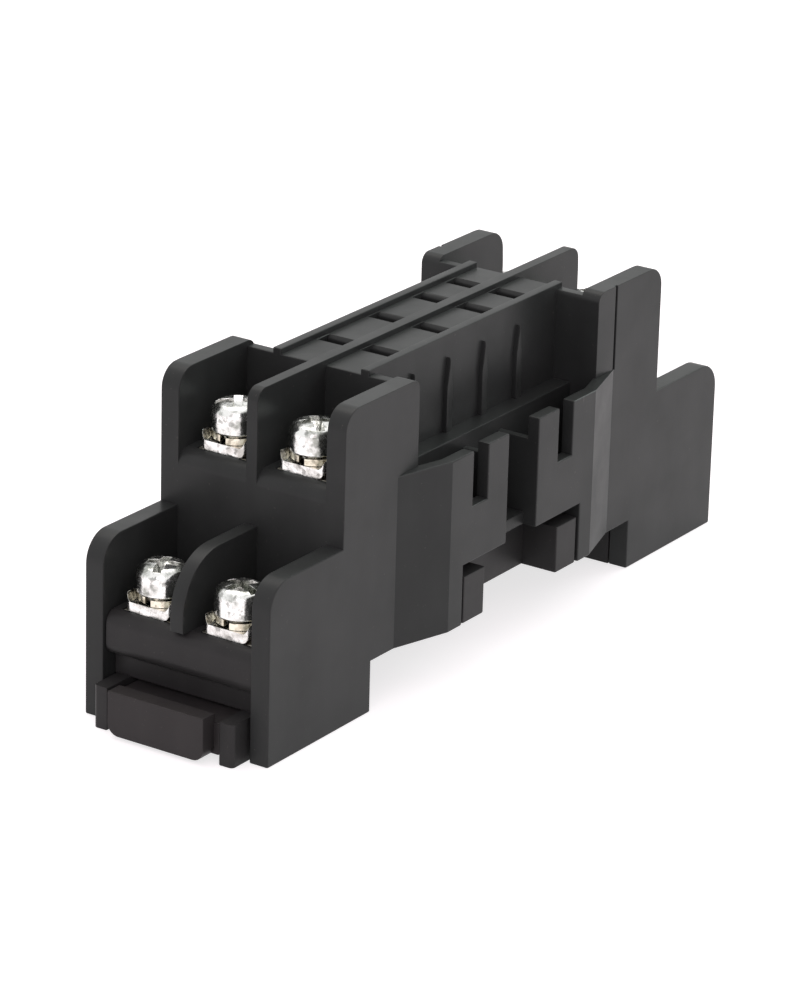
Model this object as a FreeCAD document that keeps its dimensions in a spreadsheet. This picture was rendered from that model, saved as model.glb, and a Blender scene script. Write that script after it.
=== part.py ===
import FreeCAD, Part
import math
import os
import re

import Sketcher
from FreeCAD import Rotation, Vector

# Driving sizes in millimetres. Lengths along the socket (+X) are measured inwards
# from the outer face of the end that the name gives, heights (+Z) from the foot,
# and widths (Y) are whole widths unless the name says offset.
SIZES = {
    # Overall outline, seen from the side
    "end_width": 19.2,
    "wall_top": 28.6,
    "low_wall_top": 16.4,
    "side_wall": 1.9,
    "up_corner_radius": 2.0,
    "low_corner_radius": 2.6,
    # Terminal tiers of the two ends
    "near_low_depth": 10.5,
    "far_low_depth": 10.9,
    "near_up_depth": 9.95,
    "far_up_depth": 9.9,
    "back_wall": 1.1,
    "tier_wall": 1.5,
    "up_partition": 1.1,
    "up_partition_radius": 1.2,
    "bay_corner_radius": 1.0,
    "low_partition": 1.4,
    "low_partition_radius": 5.2,
    "up_ledge": 21.4,
    "up_ledge_skin": 2.0,
    "ledge_round": 1.4,
    "low_ledge": 9.85,
    # Spine that carries the relay, with its blade slots
    "spine_length": 28.75,
    "spine_width": 10.1,
    "spine_rim": 0.9,
    "platform_top": 28.1,
    "platform_skin": 1.2,
    "slot_width": 1.25,
    "slot_length": 3.4,
    "slot_lead": 0.3,
    "blade_offset": 2.3,
    "near_up_row": 26.6,
    "near_low_row": 34.4,
    "far_low_row": 30.8,
    "far_up_row": 25.5,
    "room_length": 3.8,
    "room_width": 3.3,
    "spine_rib_width": 0.9,
    "spine_rib_height": 0.45,
    "spine_rib_top": 26.6,
    "spine_rib_pitch": 5.6,
    "spine_rib_first": 27.0,
    # Bulged skirt in the middle, with the pockets for the holding clips
    "bulge_width": 22.6,
    "bulge_rim": 20.6,
    "skirt_wall": 1.2,
    "near_facet_start": 18.5,
    "near_facet_end": 24.4,
    "far_facet_start": 18.9,
    "far_facet_end": 24.6,
    "inner_width": 13.8,
    "inner_wall": 1.2,
    "inner_ledge": 19.7,
    "pocket_floor": 10.3,
    "pocket_skin": 1.2,
    "pocket_rib": 0.8,
    "clip_slot_width": 2.3,
    "clip_slot_foot": 15.5,
    "near_clip_slot": 27.8,
    "far_clip_slot": 28.3,
    "centre_slot_start": 33.4,
    "centre_slot_width": 4.8,
    "near_notch": 26.6,
    "far_notch": 26.6,
    # Channel for the 35 mm rail, and its two hooks
    "channel_top": 4.7,
    "near_block": 15.1,
    "far_block": 15.1,
    "rail_width": 35.0,
    "rail_flange": 1.0,
    "rail_play": 0.3,
    "flange_play": 0.2,
    "hook_grip": 2.0,
    "hook_height": 1.5,
    "hook_width": 8.0,
    "hook_lead": 0.6,
    "seam_place": 19.0,
    "seam_width": 0.3,
    "seam_depth": 0.2,
    # Base cover
    "base_play": 0.1,
    "tray_floor": 7.2,
    "lip_face": 0.25,
    "lip_foot": 5.8,
    "lip_round": 1.2,
    "recess_face": 1.6,
    "cheek_gap": 0.3,
    "cheek_reach": 1.8,
    "cheek_round": 0.4,
    "tray_start": 17.0,
    "tray_width": 12.6,
    "strip_rib": 1.0,
    "strip_rib_first": 22.0,
    "strip_rib_pitch": 9.4,
    "snap_inset": 0.1,
    "snap_length": 3.3,
    "snap_top": 9.1,
    "snap_play": 0.3,
    "core_length": 9.0,
    "core_depth": 3.4,
    "core_wall": 1.4,
    # Rail slide, which runs in the near block
    "slide_travel": 3.0,
    "slide_play": 0.3,
    "slide_foot": 0.6,
    "groove_web": 0.55,
    "slide_front": 1.3,
    "tongue_depth": 0.9,
    "tongue_height": 1.2,
    "tongue_foot": 1.6,
    "tongue_start": 2.1,
    "tongue_length": 11.9,
    "tab_reach": 2.9,
    "tab_width": 10.0,
    "tab_foot": 0.3,
    "tab_top": 4.3,
    "tab_round": 1.1,
    "post_start": 3.6,
    "post_length": 1.0,
    "post_width": 2.0,
    "post_play": 0.3,
    "spring_squeezed": 3.4,
    "spring_slot": 2.8,
    "spring_width": 2.2,
    "spring_height": 1.8,
    "spring_fold": 1.2,
    "spring_play": 0.1,
    # Terminal contacts
    "plate_thick": 0.8,
    "plate_width": 5.2,
    "plate_length": 7.6,
    "plate_start": 1.6,
    "plate_play": 0.1,
    "strip_root": 0.5,
    "leaf_thick": 0.5,
    "clip_width": 2.9,
    "clip_length": 2.6,
    "clip_gap": 0.3,
    "clip_top": 26.5,
    "clip_foot_height": 1.2,
    "clip_flare": 0.45,
    "clip_neck": 1.1,
    "low_clip_foot": 20.0,
    # Terminal screws and the washers under their heads
    "terminal_offset": 4.1,
    "screw_setback": 3.6,
    "shank_diameter": 3.0,
    "shank_length": 6.8,
    "head_diameter": 4.6,
    "head_height": 2.6,
    "head_round": 0.5,
    "head_play": 0.05,
    "cross_reach": 2.8,
    "slot_reach": 3.8,
    "recess_width": 0.8,
    "recess_depth": 1.2,
    "thread_play": 0.1,
    "clamp_thick": 0.9,
    "clamp_length": 4.4,
    "clamp_flat": 4.0,
    "clamp_width": 4.8,
    "clamp_rise": 0.8,
    "clamp_play": 0.2,
    "lock_thick": 0.8,
    "lock_inner": 3.2,
    "lock_outer": 3.9,
    "lock_split": 0.4,
    "well_play": 0.4,
    "well_wall": 1.0,
    "up_well_depth": 5.6,
    "low_well_depth": 5.4,
    "strip_play": 0.4,
}

# Whole sizes that follow from the ones above. Expressions use them by name too.
SUMS = {
    "body_length": "(near_low_depth + near_up_depth + far_up_depth + far_low_depth"
    " + 2 * back_wall + spine_length)",
    "slide_width": "(end_width - 2 * (side_wall + base_play + cheek_gap + groove_web"
    " + slide_play + tongue_depth))",
    "snap_width": "(bulge_width - 2 * snap_inset)",
}

# Places that several pieces share, written once as sums of the sizes above
INNER_Y = "(end_width / 2 - side_wall)"
BASE_Y = "(end_width / 2 - side_wall - base_play)"
RAIL_MIDDLE = "((near_block + body_length - far_block) / 2)"
HOOK_TOP = "(channel_top - rail_flange - flange_play)"
HOOK_FOOT = "(channel_top - rail_flange - flange_play - hook_height)"
SLIDE_TOP = "(channel_top - rail_flange - flange_play)"
SLIDE_ROOF = "(channel_top - rail_flange - flange_play + slide_play)"
WELL = "(shank_diameter / 2 + well_play)"
BASE_FLOOR = "(low_ledge - plate_thick)"
SPRING_START = "(post_start + post_length)"
SPRING_ROOM = "(spring_squeezed + slide_travel)"
TIERS = {"low": "lower", "up": "upper"}
ENDS = ("near", "far")
SIDES = {"left": 1, "right": -1}


def bound(text):
    """The expression with its sums written out and every size read from the spreadsheet."""
    for name, total in SUMS.items():
        text = re.sub(r"\b%s\b" % name, total, text)
    return re.sub(
        r"[a-z]\w*",
        lambda word: "sizes." + word.group() if word.group() in SIZES else word.group(),
        text,
    )


def make_sheet(doc):
    """The spreadsheet that holds every driving size under its own name."""
    sheet = doc.addObject("Spreadsheet::Sheet", "sizes")
    for row, (name, value) in enumerate(SIZES.items(), 1):
        sheet.set("A%d" % row, name)
        sheet.set("B%d" % row, str(value))
        sheet.setAlias("B%d" % row, name)
    doc.recompute()
    return sheet


def end_x(end, inwards):
    """A place along the socket, measured inwards from one end's outer face."""
    return inwards if end == "near" else "body_length - (%s)" % inwards


def full_length(sheet):
    """The housing's length as a number, for finding edges."""
    ends = sheet.near_low_depth + sheet.near_up_depth + sheet.far_up_depth + sheet.far_low_depth
    return ends + 2 * sheet.back_wall + sheet.spine_length


def new_body(doc, name):
    """A body whose middle of length is put on the frame's YZ plane."""
    body = doc.addObject("PartDesign::Body", name)
    body.Label = name
    body.setExpression(".Placement.Base.x", bound("(tab_reach - body_length) / 2"))
    return body


def sketch_on(body, role, name, offset=None):
    """A sketch on one of the body's own origin planes."""
    plane = next(o for o in body.Origin.OriginFeatures if o.Role == role)
    sketch = body.newObject("Sketcher::SketchObject", name)
    sketch.AttachmentSupport = (plane, [""])
    sketch.MapMode = "FlatFace"
    if offset is not None:
        sketch.setExpression(".AttachmentOffset.Base.z", bound(offset))
    return sketch


def place(sketch, item, point, across, up):
    """Holds a point of the sketch at two distances from its origin."""
    for kind, text in (("DistanceX", across), ("DistanceY", up)):
        number = sketch.addConstraint(
            Sketcher.Constraint(kind, -1, 1, item, point, 1.0)
        )
        sketch.setExpression("Constraints[%d]" % number, bound(text))


def outline(sketch, points):
    """A closed outline of straight lines through points given as expressions."""
    count = len(points)
    first = sketch.GeometryCount
    ring = [
        Vector(math.cos(2 * math.pi * i / count), -math.sin(2 * math.pi * i / count), 0)
        for i in range(count + 1)
    ]
    for i in range(count):
        sketch.addGeometry(Part.LineSegment(ring[i], ring[i + 1]), False)
    for i in range(count):
        after = first + (i + 1) % count
        sketch.addConstraint(Sketcher.Constraint("Coincident", first + i, 2, after, 1))
    for i, (across, up) in enumerate(points):
        place(sketch, first + i, 1, across, up)


def rectangle(sketch, left, low, right, high):
    outline(sketch, [(left, low), (right, low), (right, high), (left, high)])


def circle(sketch, across, up, radius):
    item = sketch.addGeometry(Part.Circle(Vector(1, 1, 0), Vector(0, 0, 1), 1), False)
    place(sketch, item, 3, across, up)
    number = sketch.addConstraint(Sketcher.Constraint("Radius", item, 1.0))
    sketch.setExpression("Constraints[%d]" % number, bound(radius))


def pad(body, sketch, length, both_ways=False, backwards=False):
    """Adds the sketch's outline, swept square to its plane."""
    feature = body.newObject("PartDesign::Pad", sketch.Name + "_pad")
    feature.Profile = sketch
    feature.setExpression("Length", bound(length))
    feature.SideType = "Symmetric" if both_ways else "One side"
    feature.Reversed = backwards
    body.Document.recompute()
    return feature


def pocket(body, sketch, depth, both_ways=False, backwards=False):
    """Cuts the sketch's outline, and makes sure that something was cut."""
    before = body.Tip.Shape.Volume
    feature = body.newObject("PartDesign::Pocket", sketch.Name + "_cut")
    feature.Profile = sketch
    feature.setExpression("Length", bound(depth))
    feature.SideType = "Symmetric" if both_ways else "One side"
    feature.Reversed = backwards
    body.Document.recompute()
    if not feature.Shape.Volume < before - 1e-6:
        raise RuntimeError("%s cut nothing" % feature.Name)
    return feature


def edges_where(body, along, test):
    """Names of the straight edges along a direction whose middle passes a test."""
    names = []
    for number, edge in enumerate(body.Tip.Shape.Edges, 1):
        if not isinstance(edge.Curve, Part.Line):
            continue
        ends = edge.Vertexes[-1].Point - edge.Vertexes[0].Point
        if abs(ends.normalize().dot(along)) < 0.999:
            continue
        if test(edge.CenterOfMass):
            names.append("Edge%d" % number)
    return names


def soften(body, kind, edges, size):
    """A Fillet or a Chamfer on the named edges."""
    base = body.Tip
    feature = body.newObject("PartDesign::" + kind, body.Name + "_" + kind.lower())
    feature.Base = (base, edges)
    feature.setExpression("Radius" if kind == "Fillet" else "Size", bound(size))
    body.Document.recompute()
    return feature


def close(value, other):
    return abs(value - other) < 0.02


def housing_outline(body):
    """The moulding's outer form: stepped ends, bulged middle and spine."""
    near_bay = "near_low_depth + near_up_depth + back_wall"
    far_bay = end_x("far", "far_low_depth + far_up_depth + back_wall")
    far_up = end_x("far", "far_low_depth")
    far_block = end_x("far", "far_block")
    side = sketch_on(body, "XZ_Plane", "side_form")
    outline(side, [
        ("0", "0"),
        ("0", "low_wall_top"),
        ("near_low_depth", "low_wall_top"),
        ("near_low_depth", "wall_top"),
        (near_bay, "wall_top"),
        (near_bay, "bulge_rim"),
        (far_bay, "bulge_rim"),
        (far_bay, "wall_top"),
        (far_up, "wall_top"),
        (far_up, "low_wall_top"),
        ("body_length", "low_wall_top"),
        ("body_length", "0"),
        (far_block, "0"),
        (far_block, "channel_top"),
        ("near_block", "channel_top"),
        ("near_block", "0"),
    ])
    pad(body, side, "end_width", both_ways=True)

    plan = sketch_on(body, "XY_Plane", "bulge_form", "channel_top")
    outline(plan, [
        ("near_facet_start", "end_width / 2"),
        ("near_facet_end", "bulge_width / 2"),
        (end_x("far", "far_facet_end"), "bulge_width / 2"),
        (end_x("far", "far_facet_start"), "end_width / 2"),
        (end_x("far", "far_facet_start"), "-end_width / 2"),
        (end_x("far", "far_facet_end"), "-bulge_width / 2"),
        ("near_facet_end", "-bulge_width / 2"),
        ("near_facet_start", "-end_width / 2"),
    ])
    pad(body, plan, "bulge_rim - channel_top")

    spine = sketch_on(body, "XZ_Plane", "spine_form")
    rectangle(
        spine, near_bay + " - back_wall", "inner_ledge", far_bay + " + back_wall", "wall_top"
    )
    pad(body, spine, "spine_width", both_ways=True)


def spine_ribs(body):
    """Upright ribs on the spine's sides, pointed at the top."""
    rib = sketch_on(body, "XZ_Plane", "spine_rib")
    outline(rib, [
        ("spine_rib_first - spine_rib_width / 2", "inner_ledge - pocket_skin"),
        ("spine_rib_first + spine_rib_width / 2", "inner_ledge - pocket_skin"),
        ("spine_rib_first + spine_rib_width / 2", "spine_rib_top - 3 * spine_rib_width"),
        ("spine_rib_first", "spine_rib_top"),
        ("spine_rib_first - spine_rib_width / 2", "spine_rib_top - 3 * spine_rib_width"),
    ])
    first = pad(body, rib, "spine_width + 2 * spine_rib_height", both_ways=True)
    row = body.newObject("PartDesign::LinearPattern", "spine_rib_row")
    row.Originals = [first]
    row.Direction = (rib, ["H_Axis"])
    row.Occurrences = 4
    row.setExpression("Length", bound("3 * spine_rib_pitch"))
    body.Tip = row
    body.Document.recompute()


def platform_cut(body):
    """Lowers the platform between its rims and the middle rib, and the back walls."""
    top = sketch_on(body, "XY_Plane", "platform", "wall_top")
    for side in SIDES.values():
        rectangle(
            top,
            "near_low_depth + near_up_depth",
            "%d * up_partition / 2" % side,
            end_x("far", "far_low_depth + far_up_depth"),
            "%d * (spine_width / 2 - spine_rim)" % side,
        )
        for end in ENDS:
            bay = "%s_low_depth + %s_up_depth" % (end, end)
            rectangle(
                top,
                end_x(end, bay + " - 0.5"),
                "%d * spine_width / 2" % side,
                end_x(end, bay + " + back_wall + 0.5"),
                "%d * %s" % (side, INNER_Y),
            )
    pocket(body, top, "wall_top - platform_top")


def tiers(body):
    """Cuts the eight terminal compartments and rounds the walls' front corners."""
    low = sketch_on(body, "XY_Plane", "lower_rooms", "low_wall_top")
    high = sketch_on(body, "XY_Plane", "upper_rooms", "wall_top")
    for end in ENDS:
        for side in SIDES.values():
            rectangle(
                low,
                end_x(end, "-1"),
                "%d * low_partition / 2" % side,
                end_x(end, end + "_low_depth"),
                "%d * %s" % (side, INNER_Y),
            )
            rectangle(
                high,
                end_x(end, end + "_low_depth - 1"),
                "%d * up_partition / 2" % side,
                end_x(end, "%s_low_depth + %s_up_depth" % (end, end)),
                "%d * %s" % (side, INNER_Y),
            )
    pocket(body, low, "low_wall_top - low_ledge")
    pocket(body, high, "wall_top - up_ledge")


def tier_corners(body, sheet):
    """Rounds the front corners of the walls, the partitions and the upper ledges."""
    across = Vector(0, 1, 0)
    length = full_length(sheet)
    fronts = {
        "low": (0, length),
        "up": (sheet.near_low_depth, length - sheet.far_low_depth),
    }
    tops = {"low": sheet.low_wall_top, "up": sheet.wall_top}
    for tier in TIERS:

        def at_front(point, top=tops[tier], front=fronts[tier]):
            return close(point.z, top) and any(close(point.x, x) for x in front)

        walls = edges_where(body, across, lambda p: at_front(p) and abs(p.y) > sheet.low_partition)
        soften(body, "Fillet", walls, tier + "_corner_radius")
        middle = edges_where(body, across, lambda p: at_front(p) and close(p.y, 0))
        soften(body, "Fillet", middle, tier + "_partition_radius")
    bays = (
        sheet.near_low_depth + sheet.near_up_depth + sheet.back_wall,
        length - sheet.far_low_depth - sheet.far_up_depth - sheet.back_wall,
    )
    backs = edges_where(
        body,
        across,
        lambda p: close(p.z, sheet.wall_top)
        and any(close(p.x, x) for x in bays)
        and abs(p.y) > sheet.spine_width / 2,
    )
    soften(body, "Fillet", backs, "bay_corner_radius")
    ledges = edges_where(
        body,
        across,
        lambda p: close(p.z, sheet.up_ledge) and any(close(p.x, x) for x in fronts["up"]),
    )
    soften(body, "Fillet", ledges, "ledge_round")


def clip_pockets(body):
    """The pockets between the skirt and the inner walls, and the ledge beside the spine."""
    near_bay = "(near_low_depth + near_up_depth + back_wall)"
    far_bay = "(far_low_depth + far_up_depth + back_wall)"
    ledge = sketch_on(body, "XY_Plane", "inner_ledge", "bulge_rim")
    deep = sketch_on(body, "XY_Plane", "clip_pocket", "bulge_rim")
    slope = "(bulge_width - end_width) / 2 / (%s_facet_end - %s_facet_start)"
    inside = {}
    for end, bay in (("near", near_bay), ("far", far_bay)):
        rise = "(%s - %s_facet_start) * %s" % (bay, end, slope % (end, end))
        inside[end] = "(end_width / 2 + %s - skirt_wall)" % rise
    for side in SIDES.values():
        rectangle(
            ledge,
            near_bay,
            "%d * spine_width / 2" % side,
            end_x("far", far_bay),
            "%d * (inner_width / 2 + 0.1)" % side,
        )
        outline(deep, [
            (near_bay, "%d * inner_width / 2" % side),
            (near_bay, "%d * %s" % (side, inside["near"])),
            ("near_facet_end", "%d * (bulge_width / 2 - skirt_wall)" % side),
            (end_x("far", "far_facet_end"), "%d * (bulge_width / 2 - skirt_wall)" % side),
            (end_x("far", far_bay), "%d * %s" % (side, inside["far"])),
            (end_x("far", far_bay), "%d * inner_width / 2" % side),
        ])
    pocket(body, ledge, "bulge_rim - inner_ledge")
    pocket(body, deep, "bulge_rim - pocket_floor - pocket_skin")

    ribs = sketch_on(body, "XY_Plane", "pocket_ribs", "inner_ledge - pocket_skin")
    for side in SIDES.values():
        for start in ("centre_slot_start - pocket_rib", "centre_slot_start + centre_slot_width"):
            rectangle(
                ribs,
                start,
                "%d * (inner_width / 2 - 0.1)" % side,
                start + " + pocket_rib",
                "%d * (bulge_width / 2 - skirt_wall + 0.1)" % side,
            )
    pad(body, ribs, "inner_ledge - pocket_floor - 2 * pocket_skin", backwards=True)


def skirt_cuts(body):
    """The slots for the holding clips, the middle slot and the notch for the snaps."""
    narrow = sketch_on(body, "XY_Plane", "clip_slots", "bulge_rim")
    centre = sketch_on(body, "XY_Plane", "centre_slots", "bulge_rim")
    notch = sketch_on(body, "XY_Plane", "snap_notches", "pocket_floor")
    inside = "%d * (bulge_width / 2 - skirt_wall - 0.1)"
    outside = "%d * (bulge_width / 2 + 1)"
    for side in SIDES.values():
        for end in ENDS:
            start = "%s_clip_slot" % end
            rectangle(
                narrow,
                end_x(end, start),
                inside % side,
                end_x(end, start + " + clip_slot_width"),
                outside % side,
            )
        rectangle(
            centre,
            "centre_slot_start",
            inside % side,
            "centre_slot_start + centre_slot_width",
            outside % side,
        )
        rectangle(
            notch,
            "near_notch",
            "%d * inner_width / 2" % side,
            end_x("far", "far_notch"),
            outside % side,
        )
    pocket(body, narrow, "bulge_rim - clip_slot_foot")
    pocket(body, centre, "bulge_rim - pocket_floor")
    pocket(body, notch, "pocket_floor")


def wall_seams(body):
    """Fine upright grooves on the far walls, above the bulge's rim."""
    seams = sketch_on(body, "XY_Plane", "wall_seams", "wall_top")
    for side in SIDES.values():
        rectangle(
            seams,
            end_x("far", "seam_place - seam_width"),
            "%d * (end_width / 2 - seam_depth)" % side,
            end_x("far", "seam_place"),
            "%d * (end_width / 2 + 1)" % side,
        )
    pocket(body, seams, "wall_top - bulge_rim")


def base_space(body):
    """Opens the moulding from below for the base cover and the lower contacts."""
    under = sketch_on(body, "XY_Plane", "base_space", BASE_FLOOR)
    rectangle(under, "-1", "-" + INNER_Y, "body_length + 1", INNER_Y)
    pocket(body, under, "low_ledge + 1")
    shelves = sketch_on(body, "XY_Plane", "shelf_space", "low_ledge")
    for end in ENDS:
        rectangle(shelves, end_x(end, "-1"), "-" + INNER_Y, end_x(end, end + "_low_depth"), INNER_Y)
    pocket(body, shelves, "plate_thick + 1")
    ends = sketch_on(body, "XY_Plane", "end_cavities", "up_ledge - up_ledge_skin")
    middle = sketch_on(body, "XY_Plane", "middle_cavity", "inner_ledge - pocket_skin")
    doors = sketch_on(body, "XY_Plane", "strip_doors", "low_ledge + strip_play")
    for side in SIDES.values():
        for end in ENDS:
            rectangle(
                ends,
                end_x(end, end + "_low_depth + tier_wall"),
                "%d * up_partition / 2" % side,
                end_x(end, "%s_low_depth + %s_up_depth" % (end, end)),
                "%d * %s" % (side, INNER_Y),
            )
            rectangle(
                doors,
                end_x(end, end + "_low_depth"),
                "%d * (blade_offset - room_width / 2)" % side,
                end_x(end, end + "_low_depth + tier_wall + 1"),
                "%d * (blade_offset + room_width / 2)" % side,
            )
        rectangle(
            middle,
            "near_low_depth + near_up_depth - 0.5",
            "%d * up_partition / 2" % side,
            end_x("far", "far_low_depth + far_up_depth - 0.5"),
            "%d * (inner_width / 2 - inner_wall)" % side,
        )
    pocket(body, ends, "up_ledge - up_ledge_skin - %s" % BASE_FLOOR)
    pocket(body, middle, "inner_ledge - pocket_skin - %s" % BASE_FLOOR)
    pocket(body, doors, "plate_thick + strip_play")


def clip_rooms(body, sheet):
    """The eight rooms for the blade clips, and the blade slots over them."""
    low = sketch_on(body, "XY_Plane", "low_clip_rooms", "platform_top - platform_skin")
    high = sketch_on(body, "XY_Plane", "up_clip_rooms", "platform_top - platform_skin")
    slots = sketch_on(body, "XY_Plane", "blade_slots", "platform_top")
    inner = "%d * (blade_offset - room_width / 2)"
    outer = "%d * (blade_offset + room_width / 2)"
    for side in SIDES.values():
        for end in ENDS:
            rectangle(
                low,
                end_x(end, end + "_low_row - room_length / 2"),
                inner % side,
                end_x(end, end + "_low_row + room_length / 2"),
                outer % side,
            )
            rectangle(
                high,
                end_x(end, "%s_low_depth + %s_up_depth + back_wall" % (end, end)),
                inner % side,
                end_x(end, end + "_up_row + room_length / 2"),
                outer % side,
            )
            for tier in TIERS:
                row = "%s_%s_row" % (end, tier)
                rectangle(
                    slots,
                    end_x(end, row + " - slot_width / 2"),
                    "%d * (blade_offset - slot_length / 2)" % side,
                    end_x(end, row + " + slot_width / 2"),
                    "%d * (blade_offset + slot_length / 2)" % side,
                )
    pocket(body, low, "platform_top - platform_skin - inner_ledge + pocket_skin + 0.1")
    pocket(body, high, "platform_top - platform_skin - up_ledge + plate_thick")
    pocket(body, slots, "platform_skin + 0.1")
    length = full_length(sheet)
    rows = [sheet.near_up_row, sheet.near_low_row]
    rows += [length - sheet.far_low_row, length - sheet.far_up_row]
    lead = edges_where(
        body,
        Vector(0, 1, 0),
        lambda p: close(p.z, sheet.platform_top)
        and any(close(abs(p.x - row), sheet.slot_width / 2) for row in rows),
    )
    soften(body, "Chamfer", lead, "slot_lead")


def plate_seats(body, tier, reaches):
    """Sunk seats for the contacts' plates, each open where its strip leaves."""
    seats = sketch_on(body, "XY_Plane", tier + "_plate_seats", tier + "_ledge")
    for end in ENDS:
        front = end + "_low_depth" if tier == "up" else "0"
        start = end_x(end, front + " + plate_start - plate_play")
        middle = end_x(end, front + " + plate_start + plate_length + plate_play")
        root = end_x(end, front + " + plate_start + plate_length - strip_root - plate_play")
        reach = end_x(end, reaches[end])
        for side in SIDES.values():
            plate_in = "%d * (terminal_offset - plate_width / 2 - plate_play)" % side
            plate_out = "%d * (terminal_offset + plate_width / 2 + plate_play)" % side
            strip_in = "%d * (blade_offset - clip_width / 2 - plate_play)" % side
            strip_out = "%d * (blade_offset + clip_width / 2 + plate_play)" % side
            outline(seats, [
                (start, plate_in),
                (root, plate_in),
                (root, strip_in),
                (reach, strip_in),
                (reach, strip_out),
                (middle, strip_out),
                (middle, plate_out),
                (start, plate_out),
            ])
    pocket(body, seats, "plate_thick")


def screw_wells(body, sketch_name, top, depth, tiers):
    """Round wells under the terminals for the ends of the screws."""
    wells = sketch_on(body, "XY_Plane", sketch_name, top)
    for end in ENDS:
        for side in SIDES.values():
            circle(
                wells,
                end_x(end, tiers[end] + "screw_setback"),
                "%d * terminal_offset" % side,
                WELL,
            )
    pocket(body, wells, depth)


def well_bosses(body):
    """Round bosses that carry the upper wells down below their ledges."""
    bosses = sketch_on(body, "XY_Plane", "well_bosses", "up_ledge - up_ledge_skin + 0.1")
    for end in ENDS:
        for side in SIDES.values():
            circle(
                bosses,
                end_x(end, end + "_low_depth + screw_setback"),
                "%d * terminal_offset" % side,
                WELL + " + well_wall",
            )
    pad(body, bosses, "up_well_depth - up_ledge_skin + 0.1", backwards=True)


def housing(doc, sheet):
    """The moulded upper part: walls, tiers, spine, skirt and contact rooms."""
    body = new_body(doc, "housing")
    housing_outline(body)
    clip_pockets(body)
    spine_ribs(body)
    platform_cut(body)
    tiers(body)
    tier_corners(body, sheet)
    skirt_cuts(body)
    wall_seams(body)
    base_space(body)
    clip_rooms(body, sheet)
    well_bosses(body)
    plate_seats(body, "up", {
        end: "%s_low_depth + %s_up_depth + back_wall + 0.1" % (end, end) for end in ENDS
    })
    tier_start = {"near": "near_low_depth + ", "far": "far_low_depth + "}
    screw_wells(body, "up_wells", "up_ledge", "up_well_depth + 0.1", tier_start)
    return body


def base_form(body):
    """The base cover's section: front lips, shelves, rail channel and blocks."""
    near_shelf = "near_low_depth - base_play"
    far_shelf = end_x("far", "far_low_depth - base_play")
    side = sketch_on(body, "XZ_Plane", "base_form")
    outline(side, [
        ("recess_face", SLIDE_ROOF),
        ("recess_face", "lip_foot"),
        ("lip_face", "lip_foot"),
        ("lip_face", "low_ledge"),
        (near_shelf, "low_ledge"),
        (near_shelf, BASE_FLOOR),
        (far_shelf, BASE_FLOOR),
        (far_shelf, "low_ledge"),
        (end_x("far", "lip_face"), "low_ledge"),
        (end_x("far", "lip_face"), "0"),
        (end_x("far", "far_block"), "0"),
        (end_x("far", "far_block"), "channel_top"),
        ("near_block", "channel_top"),
        ("near_block", SLIDE_ROOF),
    ])
    pad(body, side, "2 * " + BASE_Y, both_ways=True)


def base_tray(body):
    """The sunk middle of the base cover, with cross ribs that carry the strips."""
    tray = sketch_on(body, "XY_Plane", "tray", BASE_FLOOR)
    rectangle(tray, "tray_start", "-tray_width / 2", end_x("far", "tray_start"), "tray_width / 2")
    pocket(body, tray, BASE_FLOOR + " - tray_floor")
    rib = sketch_on(body, "XY_Plane", "strip_rib", BASE_FLOOR)
    rectangle(
        rib,
        "strip_rib_first - strip_rib / 2",
        "-tray_width / 2 - 0.1",
        "strip_rib_first + strip_rib / 2",
        "tray_width / 2 + 0.1",
    )
    first = pad(body, rib, BASE_FLOOR + " - tray_floor + 0.1", backwards=True)
    row = body.newObject("PartDesign::LinearPattern", "strip_rib_row")
    row.Originals = [first]
    row.Direction = (rib, ["H_Axis"])
    row.Occurrences = 4
    row.setExpression("Length", bound("3 * strip_rib_pitch"))
    body.Tip = row
    body.Document.recompute()


def base_guide(body):
    """The cheeks that guide the rail slide, their grooves and the spring's post."""
    cheeks = sketch_on(body, "XY_Plane", "guide_cheeks", SLIDE_ROOF + " + 0.1")
    for side in SIDES.values():
        rectangle(
            cheeks,
            "-cheek_reach",
            "%d * (slide_width / 2 + slide_play)" % side,
            "near_block",
            "%d * (%s - cheek_gap)" % (side, BASE_Y),
        )
    pad(body, cheeks, SLIDE_ROOF + " + 0.1", backwards=True)
    grooves = sketch_on(body, "XZ_Plane", "guide_grooves")
    rectangle(
        grooves,
        "groove_web - cheek_reach",
        "tongue_foot - slide_play",
        "near_block + 1",
        "tongue_foot + tongue_height + slide_play",
    )
    pocket(body, grooves, "slide_width + 2 * tongue_depth + 2 * slide_play", both_ways=True)
    post = sketch_on(body, "XY_Plane", "spring_post", SLIDE_ROOF + " + 0.1")
    rectangle(post, "post_start", "-post_width / 2", SPRING_START, "post_width / 2")
    pad(body, post, SLIDE_ROOF + " + 0.1 - slide_foot - slide_play", backwards=True)


def base_hook(body):
    """The fixed hook that holds the far edge of the 35 mm rail."""
    edge = "(%s + rail_width / 2)" % RAIL_MIDDLE
    tip = "(%s - hook_grip)" % edge
    hook = sketch_on(body, "XZ_Plane", "fixed_hook")
    outline(hook, [
        (end_x("far", "far_block - 1"), HOOK_FOOT),
        (end_x("far", "far_block - 1"), "channel_top + 0.5"),
        (edge + " + rail_play", "channel_top + 0.5"),
        (edge + " + rail_play", HOOK_TOP),
        (tip + " + hook_lead", HOOK_TOP),
        (tip, HOOK_TOP + " - hook_lead"),
        (tip, HOOK_FOOT),
    ])
    pad(body, hook, "hook_width", both_ways=True)


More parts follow.
